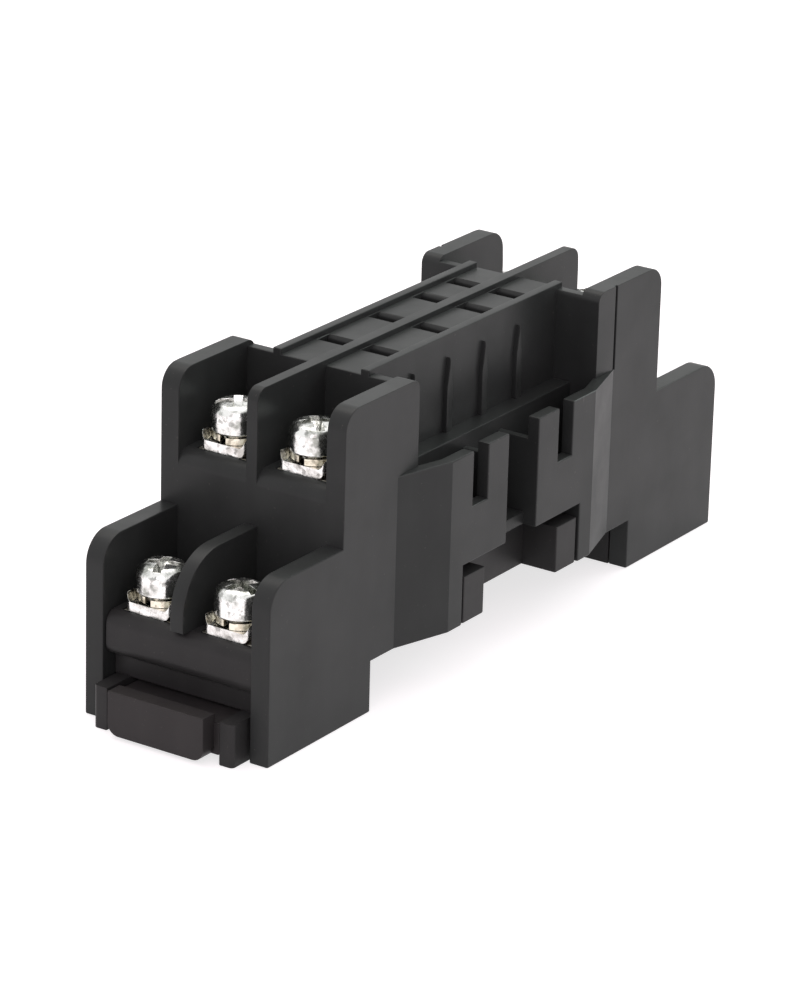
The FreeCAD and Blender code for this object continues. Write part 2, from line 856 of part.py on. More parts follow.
def base_snaps(body):
    """Four snap tongues that show in the notches of the housing's skirt."""
    snaps = sketch_on(body, "XY_Plane", "snaps", "snap_top")
    for side in SIDES.values():
        for end in ENDS:
            start = "%s_notch + snap_play" % end
            rectangle(
                snaps,
                end_x(end, start),
                "%d * (%s - 0.5)" % (side, BASE_Y),
                end_x(end, start + " + snap_length"),
                "%d * snap_width / 2" % side,
            )
    pad(body, snaps, "snap_top - channel_top", backwards=True)


def base_cover(doc, sheet):
    """The base: lower terminal shelves, rail channel, fixed hook and slide guide."""
    body = new_body(doc, "base_cover")
    base_form(body)
    across = Vector(0, 1, 0)
    faces = (sheet.lip_face, full_length(sheet) - sheet.lip_face)
    lips = edges_where(
        body,
        across,
        lambda p: any(close(p.x, x) for x in faces)
        and (close(p.z, sheet.low_ledge) or close(p.z, sheet.lip_foot)),
    )
    soften(body, "Fillet", lips, "lip_round")
    base_tray(body)
    base_guide(body)
    cheek_side = sheet.end_width / 2 - sheet.side_wall - sheet.base_play - sheet.cheek_gap
    corners = edges_where(
        body,
        Vector(0, 0, 1),
        lambda p: close(p.x, -sheet.cheek_reach) and close(abs(p.y), cheek_side),
    )
    soften(body, "Fillet", corners, "cheek_round")
    base_hook(body)
    base_snaps(body)
    cores = sketch_on(body, "XY_Plane", "block_cores", "core_depth")
    for side in SIDES.values():
        rectangle(
            cores,
            end_x("far", "lip_face + 2 * core_wall"),
            "%d * core_wall / 2" % side,
            end_x("far", "lip_face + 2 * core_wall + core_length"),
            "%d * (%s - core_wall)" % (side, BASE_Y),
        )
    pocket(body, cores, "core_depth + 1")
    plate_seats(body, "low", {end: end + "_low_depth" for end in ENDS})
    screw_wells(body, "low_wells", "low_ledge", "low_well_depth", {"near": "", "far": ""})
    return body


def rail_slide(doc, sheet):
    """The spring-loaded slide with its pull tab and rail hook."""
    body = new_body(doc, "rail_slide")
    edge = "(%s - rail_width / 2)" % RAIL_MIDDLE
    tip = "(%s + hook_grip)" % edge
    plate = sketch_on(body, "XZ_Plane", "slide_plate")
    rectangle(plate, "-slide_front", "slide_foot", "near_block", SLIDE_TOP)
    pad(body, plate, "slide_width", both_ways=True)
    hook = sketch_on(body, "XZ_Plane", "slide_hook")
    outline(hook, [
        ("near_block - 0.1", HOOK_FOOT),
        ("near_block - 0.1", SLIDE_TOP),
        (tip + " - hook_lead", SLIDE_TOP),
        (tip, SLIDE_TOP + " - hook_lead"),
        (tip, HOOK_FOOT),
    ])
    pad(body, hook, "hook_width", both_ways=True)
    tongue = sketch_on(body, "XZ_Plane", "slide_tongues")
    rectangle(
        tongue,
        "tongue_start",
        "tongue_foot",
        "tongue_start + tongue_length",
        "tongue_foot + tongue_height",
    )
    pad(body, tongue, "slide_width + 2 * tongue_depth", both_ways=True)
    tab = sketch_on(body, "XZ_Plane", "pull_tab")
    rectangle(tab, "-tab_reach", "tab_foot", "-slide_front + 0.1", "tab_top")
    pad(body, tab, "tab_width", both_ways=True)
    along = Vector(1, 0, 0)
    corners = edges_where(
        body,
        along,
        lambda p: close(p.z, sheet.tab_foot) and close(abs(p.y), sheet.tab_width / 2),
    )
    soften(body, "Fillet", corners, "tab_round")
    slot = sketch_on(body, "XY_Plane", "spring_slot", SLIDE_TOP)
    rectangle(
        slot,
        "post_start - post_play",
        "-spring_slot / 2",
        SPRING_START + " + " + SPRING_ROOM,
        "spring_slot / 2",
    )
    pocket(body, slot, SLIDE_TOP)
    return body


def slide_spring(doc):
    """The zigzag leaf spring that pushes the slide home."""
    body = new_body(doc, "slide_spring")
    folds = 6
    foot = "(slide_foot + %s - spring_height) / 2" % SLIDE_TOP
    leaf_form = sketch_on(body, "XY_Plane", "spring_form", foot)
    first = SPRING_START + " + spring_play"
    step = "(%s - 2 * spring_play) / %d" % (SPRING_ROOM, folds)
    upper = []
    lower = []
    for fold in range(folds + 1):
        along = "%s + %d * %s" % (first, fold, step)
        if fold % 2:
            upper.append((along, "spring_width / 2"))
            lower.append((along, "spring_width / 2 - spring_fold"))
        else:
            upper.append((along, "spring_fold - spring_width / 2"))
            lower.append((along, "-spring_width / 2"))
    outline(leaf_form, lower + upper[::-1])
    pad(body, leaf_form, "spring_height")
    return body


def terminal_body(doc, end, tier, side, kind):
    """A body whose own +X runs inwards from the end that it belongs to."""
    name = "%s_%s_%s_%s" % (end, TIERS[tier], side, kind)
    body = doc.addObject("PartDesign::Body", name)
    body.Label = name
    shift = "(tab_reach - body_length) / 2"
    if end == "far":
        shift += " + body_length"
        body.Placement.Rotation = Rotation(Vector(0, 0, 1), 180)
    body.setExpression(".Placement.Base.x", bound(shift))
    own_side = SIDES[side] if end == "near" else -SIDES[side]
    front = end + "_low_depth" if tier == "up" else "0"
    return body, own_side, front


def leaf(row, foot, mirror):
    """Outer then inner corners of one spring leaf of a blade clip."""
    steps = [
        ("clip_length / 2", foot + " + clip_foot_height"),
        ("clip_gap / 2 + leaf_thick", "clip_top - clip_neck"),
        ("clip_gap / 2 + leaf_thick + clip_flare", "clip_top"),
        ("clip_gap / 2 + clip_flare", "clip_top"),
        ("clip_gap / 2", "clip_top - clip_neck"),
        ("clip_length / 2 - leaf_thick", foot + " + clip_foot_height"),
        ("clip_length / 2 - leaf_thick", foot + " + leaf_thick"),
    ]
    if mirror:
        steps = steps[::-1]
    sign = "-" if mirror else "+"
    return [("%s %s (%s)" % (row, sign, across), up) for across, up in steps]


def contact(doc, end, tier, side):
    """A stamped contact: screw plate with its tapped hole, strip and blade clip."""
    body, own_side, front = terminal_body(doc, end, tier, side, "contact")
    row = "%s_%s_row" % (end, tier)
    ledge = tier + "_ledge - plate_thick"
    strip_start = front + " + plate_start + plate_length - strip_root"
    strip = sketch_on(body, "XZ_Plane", body.Name + "_strip", "%d * blade_offset" % -own_side)
    if tier == "up":
        before = [(strip_start, ledge), (row + " + clip_length / 2", ledge)]
        after = [
            (row + " - clip_length / 2", ledge + " + plate_thick"),
            (strip_start, ledge + " + plate_thick"),
        ]
        foot = ledge
    else:
        foot = "low_clip_foot"
        before = [
            (strip_start, ledge),
            (row + " + plate_thick / 2", ledge),
            (row + " + plate_thick / 2", foot),
            (row + " + clip_length / 2", foot),
        ]
        after = [
            (row + " - clip_length / 2", foot),
            (row + " - plate_thick / 2", foot),
            (row + " - plate_thick / 2", ledge + " + plate_thick"),
            (strip_start, ledge + " + plate_thick"),
        ]
    outline(strip, before + leaf(row, foot, False) + leaf(row, foot, True) + after)
    pad(body, strip, "clip_width", both_ways=True)

    plate = sketch_on(body, "XY_Plane", body.Name + "_plate", ledge)
    rectangle(
        plate,
        front + " + plate_start",
        "%d * (terminal_offset - plate_width / 2)" % own_side,
        front + " + plate_start + plate_length",
        "%d * (terminal_offset + plate_width / 2)" % own_side,
    )
    pad(body, plate, "plate_thick")
    centre = (front + " + screw_setback", "%d * terminal_offset" % own_side)
    bore = sketch_on(body, "XY_Plane", body.Name + "_bore", ledge + " + plate_thick")
    circle(bore, *centre, "shank_diameter / 2 + thread_play")
    pocket(body, bore, "plate_thick + 0.1")
    return body


def on_terminal(body, own_side, front, height):
    """Moves a body that was made on its own axis to its terminal."""
    shift = "(tab_reach - body_length) / 2"
    reach = "%s + screw_setback" % front
    if "far_" in body.Name:
        shift += " + body_length - (%s)" % reach
        own_side = -own_side
    else:
        shift += " + " + reach
    body.setExpression(".Placement.Base.x", bound(shift))
    body.setExpression(".Placement.Base.y", bound("%d * terminal_offset" % own_side))
    body.setExpression(".Placement.Base.z", bound(height))


def clamp_washer(doc, end, tier, side):
    """The square clamp plate with its two wings bent up."""
    body, own_side, front = terminal_body(doc, end, tier, side, "clamp")
    on_terminal(body, own_side, front, tier + "_ledge")
    form = sketch_on(body, "YZ_Plane", body.Name + "_form")
    outline(form, [
        ("-clamp_flat / 2", "0"),
        ("clamp_flat / 2", "0"),
        ("clamp_width / 2", "clamp_rise"),
        ("clamp_width / 2", "clamp_rise + clamp_thick"),
        ("clamp_flat / 2", "clamp_thick"),
        ("-clamp_flat / 2", "clamp_thick"),
        ("-clamp_width / 2", "clamp_rise + clamp_thick"),
        ("-clamp_width / 2", "clamp_rise"),
    ])
    pad(body, form, "clamp_length", both_ways=True)
    bore = sketch_on(body, "XY_Plane", body.Name + "_bore", "clamp_thick")
    circle(bore, "0", "0", "shank_diameter / 2 + clamp_play")
    pocket(body, bore, "clamp_thick + 0.1")
    return body


def lock_washer(doc, end, tier, side):
    """The split spring washer between the clamp and the screw's head."""
    body, own_side, front = terminal_body(doc, end, tier, side, "lock_washer")
    on_terminal(body, own_side, front, tier + "_ledge + clamp_thick")
    ring = sketch_on(body, "XY_Plane", body.Name + "_ring")
    circle(ring, "0", "0", "lock_outer / 2")
    circle(ring, "0", "0", "lock_inner / 2")
    pad(body, ring, "lock_thick")
    split = sketch_on(body, "XY_Plane", body.Name + "_split", "lock_thick")
    rectangle(split, "-lock_outer", "-lock_split / 2", "0", "lock_split / 2")
    pocket(body, split, "lock_thick + 0.1")
    return body


def terminal_screw(doc, end, tier, side):
    """The captive terminal screw with a cheese head and a cross recess."""
    body, own_side, front = terminal_body(doc, end, tier, side, "screw")
    stack = "clamp_thick + lock_thick + head_play"
    on_terminal(body, own_side, front, "%s_ledge + %s" % (tier, stack))
    half = sketch_on(body, "XZ_Plane", body.Name + "_half")
    outline(half, [
        ("0", "-shank_length"),
        ("shank_diameter / 2", "-shank_length"),
        ("shank_diameter / 2", "0"),
        ("head_diameter / 2", "0"),
        ("head_diameter / 2", "head_height - head_round"),
        ("head_diameter / 2 - head_round", "head_height"),
        ("0", "head_height"),
    ])
    turn = body.newObject("PartDesign::Revolution", body.Name + "_turn")
    turn.Profile = half
    turn.ReferenceAxis = (half, ["V_Axis"])
    turn.Angle = 360
    doc.recompute()
    recess = sketch_on(body, "XY_Plane", body.Name + "_recess", "head_height")
    narrow = "recess_width / 2"
    outline(recess, [
        ("slot_reach / 2", narrow),
        (narrow, narrow),
        (narrow, "cross_reach / 2"),
        ("-" + narrow, "cross_reach / 2"),
        ("-" + narrow, narrow),
        ("-slot_reach / 2", narrow),
        ("-slot_reach / 2", "-" + narrow),
        ("-" + narrow, "-" + narrow),
        ("-" + narrow, "-cross_reach / 2"),
        (narrow, "-cross_reach / 2"),
        (narrow, "-" + narrow),
        ("slot_reach / 2", "-" + narrow),
    ])
    pocket(body, recess, "recess_depth")
    return body


def check(doc, bodies):
    """Stops before anything is written if a feature or a shape is bad."""
    for item in doc.Objects:
        if "Invalid" in item.State or "Error" in item.State:
            raise RuntimeError("%s is %s" % (item.Name, item.State))
    for body in bodies:
        if body.Shape.isNull() or not body.Shape.isValid() or len(body.Shape.Solids) != 1:
            raise RuntimeError("%s is not one valid solid" % body.Label)


def main():
    doc = FreeCAD.newDocument("relay_socket")
    sheet = make_sheet(doc)
    bodies = [
        housing(doc, sheet),
        base_cover(doc, sheet),
        rail_slide(doc, sheet),
        slide_spring(doc),
    ]
    for end in ENDS:
        for tier in TIERS:
            for side in SIDES:
                bodies.append(contact(doc, end, tier, side))
                bodies.append(clamp_washer(doc, end, tier, side))
                bodies.append(lock_washer(doc, end, tier, side))
                bodies.append(terminal_screw(doc, end, tier, side))
    doc.recompute()
    check(doc, bodies)
    os.makedirs("parts", exist_ok=True)
    for body in bodies:
        body.Shape.exportStep("parts/%s.step" % body.Label)


main()
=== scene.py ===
import math

import bmesh
import bpy
from mathutils import Matrix, Vector
from mathutils.geometry import intersect_point_line


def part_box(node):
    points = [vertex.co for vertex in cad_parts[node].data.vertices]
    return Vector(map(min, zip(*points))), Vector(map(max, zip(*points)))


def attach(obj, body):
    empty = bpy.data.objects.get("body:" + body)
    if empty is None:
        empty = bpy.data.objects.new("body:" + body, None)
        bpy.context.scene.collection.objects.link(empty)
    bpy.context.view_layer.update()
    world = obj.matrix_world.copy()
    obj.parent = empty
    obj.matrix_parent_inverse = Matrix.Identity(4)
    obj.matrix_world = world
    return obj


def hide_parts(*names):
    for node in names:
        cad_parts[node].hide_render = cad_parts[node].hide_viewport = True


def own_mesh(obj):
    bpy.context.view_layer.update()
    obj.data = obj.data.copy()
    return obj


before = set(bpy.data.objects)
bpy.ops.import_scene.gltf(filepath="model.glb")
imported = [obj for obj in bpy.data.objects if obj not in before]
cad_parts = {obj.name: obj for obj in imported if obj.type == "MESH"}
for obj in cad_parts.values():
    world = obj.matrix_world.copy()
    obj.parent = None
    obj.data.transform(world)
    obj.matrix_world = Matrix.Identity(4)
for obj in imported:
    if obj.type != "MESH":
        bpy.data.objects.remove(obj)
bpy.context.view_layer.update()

MM = 0.001

# The photograph's camera, in degrees and metres. The aim is the middle of the
# housing's length at half its height, and the offsets slide the camera sideways.
VIEW_AZIMUTH = -56.42
VIEW_ELEVATION = 20.89
VIEW_ROLL = 1.55
VIEW_DISTANCE = 0.42114
VIEW_AIM = (0.00144, 0.0, 0.0144)
VIEW_SLIDE = (-0.0016, -0.00327)
FOCAL_MM = 169.6
SENSOR_MM = 36.0

# How far the edges of the mouldings, of the terminals' metal and of the spring are
# rounded, in metres
MOULDED_EDGE = 0.14 * MM
STAMPED_EDGE = 0.07 * MM
SPRING_EDGE = 0.15 * MM

# Edges that turn by less than this, in radians, belong to a rounded surface.
# Narrow faces blend with neighbours up to the second turn, and faces wider than
# the third size, in metres, are flat.
SHARP_TURN = math.radians(28)
BLEND_TURN = math.radians(36)
BROAD_FACE = 1.2 * MM

# Faces that turn by less than this, in radians, are joined, and corners nearer to
# each other than the size, in metres, are one corner
LEVEL_TURN = math.radians(0.5)
SAME_CORNER = 0.002 * MM

# A rounding takes this share of the narrowest stretch beside its edge. Edges whose
# directions agree by at least the second value carry on along it.
ROUNDING_SHARE = 0.4
CARRIES_ON = 0.8

# The terminal screws, in metres, with the head size of the solids
HEAD_RADIUS = 2.3 * MM
HEAD_HEIGHT = 2.6 * MM
SHANK_RADIUS = 1.5 * MM
SHANK_LENGTH = 6.8 * MM
THREAD_PITCH = 0.5 * MM
THREAD_DEPTH = 0.27 * MM
HEAD_CORNER = 0.95 * MM
HEAD_RISE = 0.1 * MM
RECESS_DEPTH = 1.2 * MM
ROUND_STEPS = 48

# The screw's recess at its floor, its waist and above the head: height, the
# reach of the long and the short arms, and half the width of an arm, in metres
RECESS_LEVELS = (
    (HEAD_HEIGHT - RECESS_DEPTH, 0.75 * MM, 0.62 * MM, 0.26 * MM),
    (HEAD_HEIGHT - 0.62 * RECESS_DEPTH, 1.84 * MM, 1.2 * MM, 0.33 * MM),
    (HEAD_HEIGHT + 0.2 * MM, 1.98 * MM, 1.5 * MM, 0.42 * MM),
)

# The thread: how much of the shank's foot and of its top it leaves bare, its
# steps in a turn, and its section as shares of the pitch and of the depth
THREAD_FOOT = 0.5 * MM
THREAD_BARE = 1.5 * MM
THREAD_STEPS = 24
THREAD_SECTION = ((0.0, -0.3), (0.0, 0.0), (0.4, 1.0), (0.52, 1.0), (0.92, 0.0), (0.92, -0.3))

# The clamp plates: the level part's half width, the wings' rise, the grip ridges
# along the edges, and the ends that the ridges leave bare, in metres
CLAMP_LENGTH = 4.4 * MM
CLAMP_FLAT = 2.0 * MM
CLAMP_HALF_WIDTH = 2.4 * MM
CLAMP_THICK = 0.9 * MM
CLAMP_RISE = 0.8 * MM
CLAMP_CORNER = 0.6 * MM
CLAMP_BORE = 1.7 * MM
CLAMP_BARE = 0.45 * MM
GRIP_PITCH = 0.25 * MM
GRIP_DEPTH = 0.07 * MM
BORE_STEPS = 40
CUT_HEIGHTS = (-1.0 * MM, 3.0 * MM)

# The spring washers, in metres: half of the split is an angle in radians
WASHER_INNER = 1.6 * MM
WASHER_OUTER = 2.15 * MM
WASHER_THICK = 0.8 * MM
WASHER_LIFT = 0.16 * MM
WASHER_SPLIT = 0.13
WASHER_STEPS = 60

# How far each terminal screw is turned in its plate, in radians
SCREW_TURNS = (0.35, 1.25, 2.15, 0.8, 1.7, 0.1, 2.6, 1.0)

# The floor lies this far under the object and reaches this far, in metres
FLOOR_DROP = 0.02 * MM
FLOOR_REACH = 3.0


def new_object(name, data):
    """An object in the scene with its mesh, lamp or camera."""
    made = bpy.data.objects.new(name, data)
    bpy.context.collection.objects.link(made)
    return made


def new_material(name):
    """A node material and its principled shader."""
    material = bpy.data.materials.new(name)
    material.use_nodes = True
    return material, material.node_tree, material.node_tree.nodes["Principled BSDF"]


def node(tree, kind, **values):
    """A shader node with some of its settings and inputs set."""
    made = tree.nodes.new(kind)
    for key, value in values.items():
        if hasattr(made, key):
            setattr(made, key, value)
        else:
            made.inputs[key.replace("_", " ")].default_value = value
    return made


def noise(tree, scale, detail=3.0, stretch=(1, 1, 1), roughness=0.5):
    """Noise in the object's own space, so that it rides with the piece."""
    place = node(tree, "ShaderNodeTexCoord")
    scaled = node(tree, "ShaderNodeMapping")
    scaled.inputs["Scale"].default_value = stretch
    tree.links.new(place.outputs["Object"], scaled.inputs["Vector"])
    made = node(tree, "ShaderNodeTexNoise", Scale=scale, Detail=detail, Roughness=roughness)
    tree.links.new(scaled.outputs["Vector"], made.inputs["Vector"])
    return made.outputs["Fac"]


def ramp(tree, source, low, high, start=0.35, stop=0.65):
    """Blends two colours by a value."""
    made = node(tree, "ShaderNodeValToRGB")
    made.color_ramp.elements[0].position = start
    made.color_ramp.elements[0].color = low + (1,)
    made.color_ramp.elements[1].position = stop
    made.color_ramp.elements[1].color = high + (1,)
    tree.links.new(source, made.inputs["Fac"])
    return made.outputs["Color"]


def blend(tree, kind, amount, first, second):
    """Mixes two colours, by a plain amount or a value from another node."""
    made = node(tree, "ShaderNodeMix", data_type="RGBA", blend_type=kind)
    if isinstance(amount, float):
        made.inputs[0].default_value = amount
    else:
        tree.links.new(amount, made.inputs[0])
    for socket, colour in ((6, first), (7, second)):
        if isinstance(colour, tuple):
            made.inputs[socket].default_value = colour + (1,)
        else:
            tree.links.new(colour, made.inputs[socket])
    return made.outputs[2]


def spread(tree, source, low, high, start=0.3, stop=0.7):
    """A value moved from one range to another."""
    made = node(tree, "ShaderNodeMapRange", To_Min=low, To_Max=high)
    made.inputs["From Min"].default_value = start
    made.inputs["From Max"].default_value = stop
    tree.links.new(source, made.inputs["Value"])
    return made.outputs["Result"]


def weaken(tree, source, share):
    """A value made weaker by a plain share."""
    made = node(tree, "ShaderNodeMath", operation="MULTIPLY")
    made.inputs[1].default_value = share
    tree.links.new(source, made.inputs[0])
    return made.outputs[0]


def relief(tree, shader, layers):
    """Bumps of several sizes, each with its height, strength and depth in metres."""
    before = None
    for height, strength, depth in layers:
        made = node(tree, "ShaderNodeBump", Strength=strength, Distance=depth)
        tree.links.new(height, made.inputs["Height"])
        if before:
            tree.links.new(before, made.inputs["Normal"])
        before = made.outputs["Normal"]
    tree.links.new(before, shader.inputs["Normal"])


def moulding(name, deep, pale, rough):
    """Matt black moulding: eroded grain, flow marks and faint handling marks."""
    material, tree, shader = new_material(name)
    shader.inputs["Specular IOR Level"].default_value = 0.2
    cloud = ramp(tree, noise(tree, 190.0, 3.0), deep, pale, 0.3, 0.7)
    flow = noise(tree, 420.0, 2.0, (1.0, 1.0, 0.12))
    marked = blend(tree, "MULTIPLY", 0.5, cloud, ramp(tree, flow, (0.82, 0.81, 0.82), (1, 1, 1)))
    dust = ramp(tree, noise(tree, 2600.0, 4.0, roughness=0.7), (0, 0, 0), (1, 1, 1), 0.66, 0.74)
    dusty = blend(tree, "MIX", dust, marked, (0.075, 0.072, 0.068))
    tree.links.new(dusty, shader.inputs["Base Color"])
    patches = noise(tree, 130.0, 4.0, roughness=0.6)
    tree.links.new(spread(tree, patches, rough - 0.07, rough + 0.09), shader.inputs["Roughness"])
    relief(tree, shader, [
        (flow, 0.15, 0.00002),
        (noise(tree, 5200.0, 3.0), 0.35, 0.000012),
    ])
    return material


def plated(name, deep, pale, smooth, dents, speckle):
    """Bright plating: cloudy, with spangles, fine dents and dull patches."""
    material, tree, shader = new_material(name)
    shader.inputs["Metallic"].default_value = 1.0
    cloud = ramp(tree, noise(tree, 620.0, 4.0, roughness=0.65), deep, pale, 0.38, 0.56)
    stains = ramp(tree, noise(tree, 1700.0, 3.0), (0, 0, 0), (1, 1, 1), 0.56, 0.64)
    dark = tuple(0.5 * part for part in deep)
    stained = blend(tree, "MIX", weaken(tree, stains, speckle), cloud, dark)
    tree.links.new(stained, shader.inputs["Base Color"])
    wear = noise(tree, 1400.0, 4.0, roughness=0.7)
    tree.links.new(spread(tree, wear, smooth, smooth + 0.24), shader.inputs["Roughness"])
    relief(tree, shader, [
        (noise(tree, 900.0, 2.0), dents, 0.00012),
        (noise(tree, 6000.0, 3.0), 0.3, 0.00001),
    ])
    return material


def room_beside(line, faces):
    """The narrowest stretch of surface beside an edge that its rounding can use."""
    start, stop = (corner.co for corner in line.verts)
    along = (stop - start).normalized()
    found = 1.0
    for face in faces:
        for other in face.edges:
            if other == line:
                continue
            ends = [corner.co for corner in other.verts]
            if set(other.verts) & set(line.verts):
                way = (ends[1] - ends[0]).normalized()
                if abs(way.dot(along)) < CARRIES_ON:
                    found = min(found, other.calc_length())
                continue
            for point, tail, tip in (
                (ends[0], start, stop),
                (ends[1], start, stop),
                (start, *ends),
                (stop, *ends),
            ):
                share = intersect_point_line(point, tail, tip)[1]
                near = tail.lerp(tip, min(max(share, 0.0), 1.0))
                found = min(found, (point - near).length)
    return found


def mark_edges(form, edge):
    """Says how far each outward edge is rounded."""
    weights = form.edges.layers.float.new("bevel_weight_edge")
    for line in form.edges:
        faces = line.link_faces
        if len(faces) != 2:
            continue
        if line.calc_face_angle_signed(0.0) > SHARP_TURN:
            line[weights] = min(1.0, ROUNDING_SHARE * room_beside(line, faces) / edge)


def kept(form, name):
    """A form kept as a mesh, to be set down several times."""
    mesh = bpy.data.meshes.new(name)
    form.to_mesh(mesh)
    form.free()
    return mesh


def to_object(form):
    """A scratch object from a form."""
    return new_object("scratch", kept(form, "scratch"))


def applied(thing):
    """The mesh of an object once its modifiers have worked."""
    graph = bpy.context.evaluated_depsgraph_get()
    return bpy.data.meshes.new_from_object(thing.evaluated_get(graph))


def drop(thing):
    """Takes a scratch object away."""
    old = thing.data
    bpy.data.objects.remove(thing)
    bpy.data.meshes.remove(old)


def shade(mesh):
    """Broad faces shine flat, and narrow ones blend with what they lie nearly level with."""
    faces = mesh.polygons
    around = [[] for _ in mesh.vertices]
    broad = []
    for face in faces:
        face.use_smooth = True
        spans = [
            (mesh.vertices[a].co - mesh.vertices[b].co).length for a, b in face.edge_keys
        ]
        broad.append(face.area > BROAD_FACE * max(spans))
        for corner in face.vertices:
            around[corner].append(face)
    level = math.cos(BLEND_TURN)
    normals = []
    for face in faces:
        own = face.normal.copy()
        for corner in face.vertices:
            if broad[face.index]:
                normals.append(own)
                continue
            total = Vector()
            for other in around[corner]:
                if own.dot(other.normal) > level:
                    total += other.normal * other.area
            normals.append(total.normalized() if total.length else own)
    mesh.normals_split_custom_set(normals)


def finished(name, form, material, edge, body, stands_for, segments=2):
    """Turns a form into a piece with rounded edges that stands for a CAD node."""
    mark_edges(form, edge)
    rough = to_object(form)
    bevel = rough.modifiers.new("edges", "BEVEL")
    bevel.width = edge
    bevel.segments = segments
    bevel.limit_method = "WEIGHT"
    bevel.use_clamp_overlap = False
    mesh = applied(rough)
    drop(rough)
    mesh.name = name
    shade(mesh)
    mesh.materials.clear()
    mesh.materials.append(material)
    piece = new_object(name, mesh)
    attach(piece, body)
    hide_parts(stands_for)
    return piece


def join_level(form):
    """Joins neighbouring faces that lie level into one."""
    bmesh.ops.dissolve_limit(
        form, angle_limit=LEVEL_TURN, verts=form.verts[:], edges=form.edges[:]
    )


def softened(name, body, material, edge, segments=2):
    """A CAD node's own form with its edges rounded as they come from the tool."""
    form = bmesh.new()
    form.from_mesh(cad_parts[name].data)
    bmesh.ops.remove_doubles(form, verts=form.verts[:], dist=SAME_CORNER)
    join_level(form)
    return finished(name + "_piece", form, material, edge, body, name, segments)


def quarter(steps):
    """The turns of a quarter round, in radians."""
    return [math.pi / 2 * step / steps for step in range(steps + 1)]


def ring(form, radius, height, steps):
    """A circle of corners about the Z axis."""
    turns = [2 * math.pi * step / steps for step in range(steps)]
    return [form.verts.new((radius * math.cos(a), radius * math.sin(a), height)) for a in turns]


def skin(form, rows):
    """Faces between closed rows of corners, each joined to the next."""
    for low, high in zip(rows, rows[1:]):
        for step in range(len(low)):
            after = (step + 1) % len(low)
            form.faces.new((low[step], low[after], high[after], high[step]))


def lathed(form, profile, steps=ROUND_STEPS):
    """A closed turned form from radius and height pairs, from the bottom up."""
    rows = [ring(form, radius, height, steps) for radius, height in profile]
    skin(form, rows)
    form.faces.new(rows[0][::-1])
    form.faces.new(rows[-1])


def prism(rows):
    """A closed form between two or more equal outlines."""
    form = bmesh.new()
    made = [[form.verts.new(point) for point in row] for row in rows]
    skin(form, made)
    form.faces.new(made[0][::-1])
    form.faces.new(made[-1])
    bmesh.ops.recalc_face_normals(form, faces=form.faces[:])
    return form


def cut(form, cutter, operation="DIFFERENCE"):
    """The first form less the second, or only what they share."""
    whole = to_object(form)
    tool = to_object(cutter)
    step = whole.modifiers.new("cut", "BOOLEAN")
    step.operation = operation
    step.solver = "EXACT"
    step.object = tool
    result = applied(whole)
    left = bmesh.new()
    left.from_mesh(result)
    join_level(left)
    drop(whole)
    drop(tool)
    bpy.data.meshes.remove(result)
    return left


def recess_cutter():
    """A cross with one longer pair of arms, narrowing as it goes down."""
    rows = []
    for height, slot_end, cross_end, half in RECESS_LEVELS:
        corners = [
            (slot_end, half),
            (half, half),
            (half, cross_end),
            (-half, cross_end),
            (-half, half),
            (-slot_end, half),
            (-slot_end, -half),
            (-half, -half),
            (-half, -cross_end),
            (half, -cross_end),
            (half, -half),
            (slot_end, -half),
        ]
        rows.append([(across, up, height) for across, up in corners])
    return prism(rows)


def screw_head():
    """The rounded head with its combined recess."""
    form = bmesh.new()
    inner = HEAD_RADIUS - HEAD_CORNER
    brow = HEAD_HEIGHT - HEAD_RISE
    profile = [
        (SHANK_RADIUS - THREAD_DEPTH, 0.0),
        (HEAD_RADIUS - 0.1 * MM, 0.0),
        (HEAD_RADIUS, 0.1 * MM),
    ]
    for turn in quarter(8):
        profile.append((
            inner + HEAD_CORNER * math.cos(turn),
            brow - HEAD_CORNER + HEAD_CORNER * math.sin(turn),
        ))
    for step in range(1, 6):
        share = step / 6
        profile.append((inner * (1 - share), brow + HEAD_RISE * math.sin(share * math.pi / 2)))
    lathed(form, profile)
    bmesh.ops.recalc_face_normals(form, faces=form.faces[:])
    return cut(form, recess_cutter())


def add_thread(form):
    """The core of the shank and a thread round it that runs out under the head."""
    root = SHANK_RADIUS - THREAD_DEPTH
    turns = int((SHANK_LENGTH - THREAD_BARE) / THREAD_PITCH)
    rows = []
    for step in range(turns * THREAD_STEPS + 1):
        share = step / THREAD_STEPS
        angle = 2 * math.pi * share
        fade = min(1.0, 0.1 + share, 0.1 + turns - share)
        low = -SHANK_LENGTH + THREAD_FOOT + THREAD_PITCH * share
        row = []
        for up, out in THREAD_SECTION:
            reach = out * fade if out > 0 else out
            radius = root + (THREAD_DEPTH - 0.02 * MM) * reach
            place = (radius * math.cos(angle), radius * math.sin(angle))
            row.append((*place, low + up * THREAD_PITCH))
        rows.append(row)
    ridge = kept(prism(rows), "ridge")
    form.from_mesh(ridge)
    bpy.data.meshes.remove(ridge)
    core = root + 0.01 * MM
    tip = 0.45 * MM
    lathed(form, [(core - tip, -SHANK_LENGTH), (core, -SHANK_LENGTH + tip), (core, 0.05 * MM)])


def screw_form():
    """The whole captive screw, its head's underside at the origin."""
    form = screw_head()
    add_thread(form)
    return form


